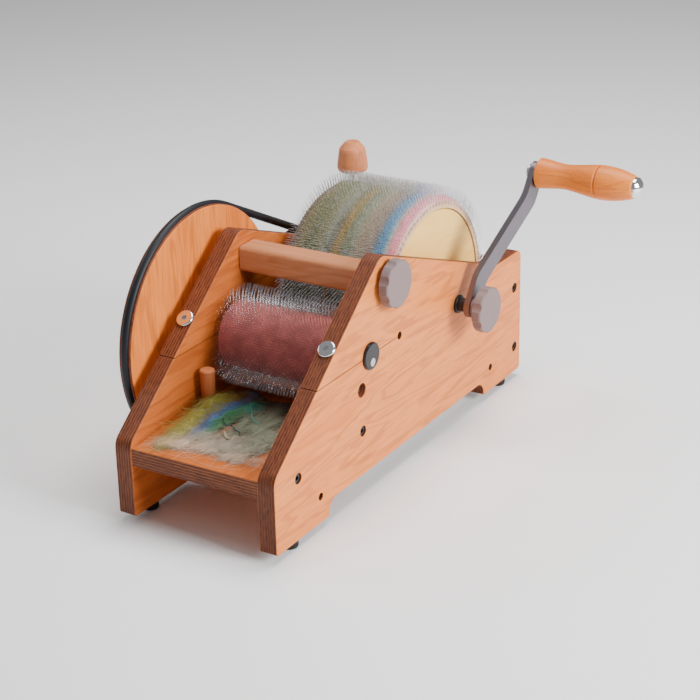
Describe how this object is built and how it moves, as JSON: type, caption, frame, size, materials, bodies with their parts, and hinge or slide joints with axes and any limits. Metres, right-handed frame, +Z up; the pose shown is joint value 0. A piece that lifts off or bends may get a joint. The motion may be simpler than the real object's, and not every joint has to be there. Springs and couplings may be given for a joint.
{
  "type": "drum carder",
  "caption": "Table-top hand-cranked drum carder with plywood frame, large pinned drum, small licker-in, round-belt drive, brush bar, feed tray and fibre on the drum",
  "frame": {"origin": "On the surface that the rubber feet stand on, under the middle of the overall bounding box.", "axes": "+X towards the crank on the right-hand side, +Y from the feed tray towards the rear board, +Z up."},
  "size_m": [0.3614, 0.4724, 0.2633],
  "materials": {
    "cherry_plywood": "satin",
    "pale_wood": "satin",
    "peg_wood": "satin",
    "lacquered_wood": "gloss",
    "black_rubber": "matte",
    "belt_rubber": "satin",
    "dark_steel": "satin",
    "black_plastic": "gloss",
    "zinc_steel": "satin",
    "arm_steel": "satin",
    "hub_aluminium": "satin",
    "bright_chrome": "polished",
    "grey_knob": "matte",
    "red_card_cloth": "matte",
    "pin_field": "satin",
    "carded_fibre": "matte",
    "loose_fibre": "matte",
    "bristle": "matte"
  },
  "bodies": {
    "frame": {"side_panel_right": "cherry_plywood", "side_panel_left": "cherry_plywood", "feed_tray": "cherry_plywood", "rear_board": "cherry_plywood", "guide_pegs": "peg_wood", "rubber_feet": "black_rubber", "foot_screws": "dark_steel", "frame_screws": "dark_steel", "main_bush_right": "black_plastic", "main_bush_left": "black_plastic", "barrel_nuts": "zinc_steel", "brush_pivot_screw": "dark_steel", "drive_belt": "belt_rubber", "fibre_on_tray": "loose_fibre"},
    "main_drum": {"main_axle": "zinc_steel", "axle_spacer_right": "black_plastic", "axle_spacer_left": "black_plastic", "drum_shell": "pale_wood", "drum_end_disc_right": "pale_wood", "drum_end_disc_left": "pale_wood", "drum_collars": "hub_aluminium", "main_card_cloth": "red_card_cloth", "fibre_batt": "carded_fibre", "main_card_pins": "pin_field", "drum_pulley": "cherry_plywood", "pulley_washer": "zinc_steel", "pulley_nut": "dark_steel", "crank_arm": "arm_steel", "handle_spindle": "zinc_steel", "handle_washer": "black_plastic", "handle_end_cap": "bright_chrome"},
    "crank_handle": {"crank_handle": "lacquered_wood"},
    "crank_knob": {"crank_knob": "grey_knob"},
    "eccentric_bush_right": {"eccentric_bush_right": "black_plastic"},
    "eccentric_bush_left": {"eccentric_bush_left": "black_plastic"},
    "licker_in": {"licker_axle": "zinc_steel", "licker_core": "pale_wood", "licker_card_cloth": "red_card_cloth", "licker_card_pins": "pin_field", "licker_spacers": "black_plastic", "drive_wheel": "cherry_plywood", "wheel_hub": "hub_aluminium", "wheel_hub_screws": "dark_steel", "wheel_washer": "zinc_steel", "wheel_nut": "dark_steel"},
    "clamp_bolt_right": {"clamp_bolt_right": "bright_chrome"},
    "clamp_bolt_left": {"clamp_bolt_left": "bright_chrome"},
    "brush": {"brush_bar": "cherry_plywood", "brush_bristles": "bristle", "brush_stud": "zinc_steel", "brush_washers": "black_plastic"},
    "brush_knob": {"brush_knob": "grey_knob"},
    "doffer": {"doffer_rod": "zinc_steel", "doffer_handle": "peg_wood"}
  },
  "joints": [
    {"name": "main_drum_spin", "type": "hinge", "parent": "frame", "child": "main_drum", "pos_m": [-0.05975, 0.09725, 0.1295], "axis": [1, 0, 0], "continuous": true},
    {"name": "crank_handle_spin", "type": "hinge", "parent": "main_drum", "child": "crank_handle", "pos_m": [0.07085, 0.18485, 0.2463], "axis": [1, 0, 0], "continuous": true},
    {"name": "crank_knob_turn", "type": "hinge", "parent": "main_drum", "child": "crank_knob", "pos_m": [0.04435, 0.09725, 0.1295], "axis": [1, 0, 0], "range_deg": [0, 360]},
    {"name": "bush_right_turn", "type": "hinge", "parent": "frame", "child": "eccentric_bush_right", "pos_m": [0.0085, -0.07275, 0.138], "axis": [1, 0, 0], "range_deg": [-15, 15], "deforming": ["drive_belt"]},
    {"name": "bush_left_turn", "type": "hinge", "parent": "frame", "child": "eccentric_bush_left", "pos_m": [-0.128, -0.07275, 0.138], "axis": [1, 0, 0], "range_deg": [-15, 15]},
    {"name": "licker_in_spin", "type": "hinge", "parent": "eccentric_bush_right", "child": "licker_in", "pos_m": [-0.05975, -0.07275, 0.132], "axis": [1, 0, 0], "continuous": true},
    {"name": "clamp_bolt_right_turn", "type": "hinge", "parent": "frame", "child": "clamp_bolt_right", "pos_m": [0.0175, -0.13135, 0.16387], "axis": [0, -0.6199, 0.7847], "range_deg": [0, 360]},
    {"name": "clamp_bolt_left_turn", "type": "hinge", "parent": "frame", "child": "clamp_bolt_left", "pos_m": [-0.137, -0.13135, 0.16387], "axis": [0, -0.6199, 0.7847], "range_deg": [0, 360]},
    {"name": "brush_tilt", "type": "hinge", "parent": "frame", "child": "brush", "pos_m": [-0.05975, -0.04025, 0.1995], "axis": [1, 0, 0], "range_deg": [-20, 60]},
    {"name": "brush_knob_turn", "type": "hinge", "parent": "brush", "child": "brush_knob", "pos_m": [0.0266, -0.04025, 0.1995], "axis": [1, 0, 0], "range_deg": [0, 360]},
    {"name": "doffer_lift", "type": "slide", "parent": "frame", "child": "doffer", "axis": [0, 0, 1], "range_m": [0, 0.045]}
  ],
  "couplings": [
    {"joint": "licker_in_spin", "follows": "main_drum_spin", "ratio": 0.37021},
    {"joint": "bush_left_turn", "follows": "bush_right_turn", "ratio": 1}
  ]
}
